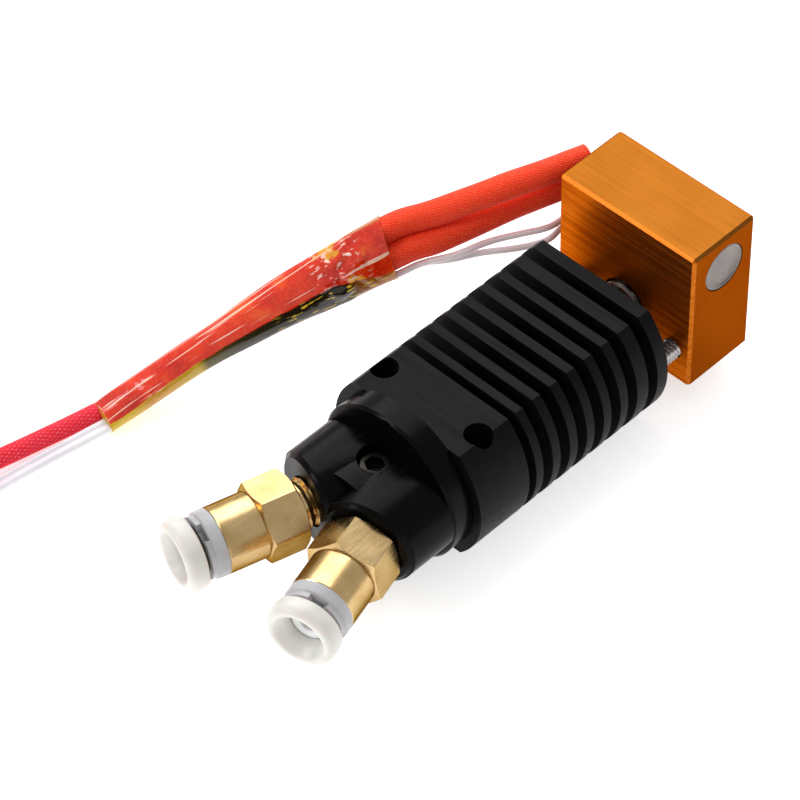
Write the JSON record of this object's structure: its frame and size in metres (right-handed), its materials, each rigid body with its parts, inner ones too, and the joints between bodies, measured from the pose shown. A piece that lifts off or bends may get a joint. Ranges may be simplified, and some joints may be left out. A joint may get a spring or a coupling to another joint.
{
  "type": "dual-feed 3-d printer hotend",
  "caption": "Flat-sided finned heatsink with a two-branch tube adapter and push-fit fittings at one end, and a heater block with nozzle and wired heater and sensor at the other",
  "frame": {"origin": "midway between the two mounting holes, on the heatsink's lower flat", "axes": "+X along the hotend's axis to the nozzle, +Y to the side where the cables leave, +Z square to the heatsink's flats"},
  "size_m": [0.1144, 0.0815, 0.0229],
  "materials": {
    "black_anodised": "satin black anodised",
    "black_adapter": "glossy black anodised",
    "black_steel": "black oxide",
    "steel": "bright",
    "orange_anodised": "orange anodised, lightly brushed",
    "brass": "machined",
    "glass_bead": "glassy",
    "liner": "smooth, waxy",
    "lead_wire": "bare nickel",
    "red_sleeving": "woven glass-fibre sleeving",
    "clear_wire": "clear insulation",
    "amber_tape": "glossy heat-proof film",
    "pink_sleeve": "smooth",
    "black_boot": "matte",
    "tin": "tinned",
    "white_wire": "smooth",
    "white_ring": "milky, smooth",
    "translucent_collar": "translucent, frosted",
    "seal_rubber": "soft"
  },
  "bodies": {
    "hotend": {"heatsink": "black_anodised", "y_adapter": "black_adapter", "adapter_set_screw": "black_steel", "heat_break": "steel", "heater_block": "orange_anodised", "nozzle": "brass", "heater_cartridge": "steel", "heater_set_screw": "black_steel", "thermistor_bead": "glass_bead", "support_screws": "steel", "filament_liner_lower": "liner", "heater_lead_upper": "lead_wire", "heater_lead_lower": "lead_wire", "heater_sleeve_upper": "red_sleeving", "heater_sleeve_lower": "red_sleeving", "sensor_wire_a": "clear_wire", "sensor_wire_b": "clear_wire", "tape_wrap": "amber_tape", "heater_cable": "pink_sleeve", "heater_cable_coil": "pink_sleeve", "heater_cable_tail": "pink_sleeve", "heater_cable_boot": "black_boot", "heater_ferrules": "tin", "sensor_cable": "white_wire", "sensor_cable_coil": "white_wire", "sensor_cable_tail": "white_wire", "sensor_plug": "black_boot", "sensor_contacts": "tin", "fitting_body_left": "brass", "guide_ring_left": "white_ring", "grip_ring_left": "steel", "o_ring_left": "seal_rubber", "filament_liner_left": "liner", "fitting_body_right": "brass", "guide_ring_right": "white_ring", "grip_ring_right": "steel", "o_ring_right": "seal_rubber", "filament_liner_right": "liner"},
    "left_collar": {"release_collar_left": "translucent_collar"},
    "right_collar": {"release_collar_right": "translucent_collar"}
  },
  "joints": [
    {"name": "left_collar_press", "type": "slide", "parent": "hotend", "child": "left_collar", "axis": [0.9613, -0.2756, 0], "range_m": [0, 0.0005], "stiffness_N_per_m": 600, "springref_m": -0.002},
    {"name": "right_collar_press", "type": "slide", "parent": "hotend", "child": "right_collar", "axis": [0.9613, 0.2756, 0], "range_m": [0, 0.0005], "stiffness_N_per_m": 600, "springref_m": -0.002}
  ]
}
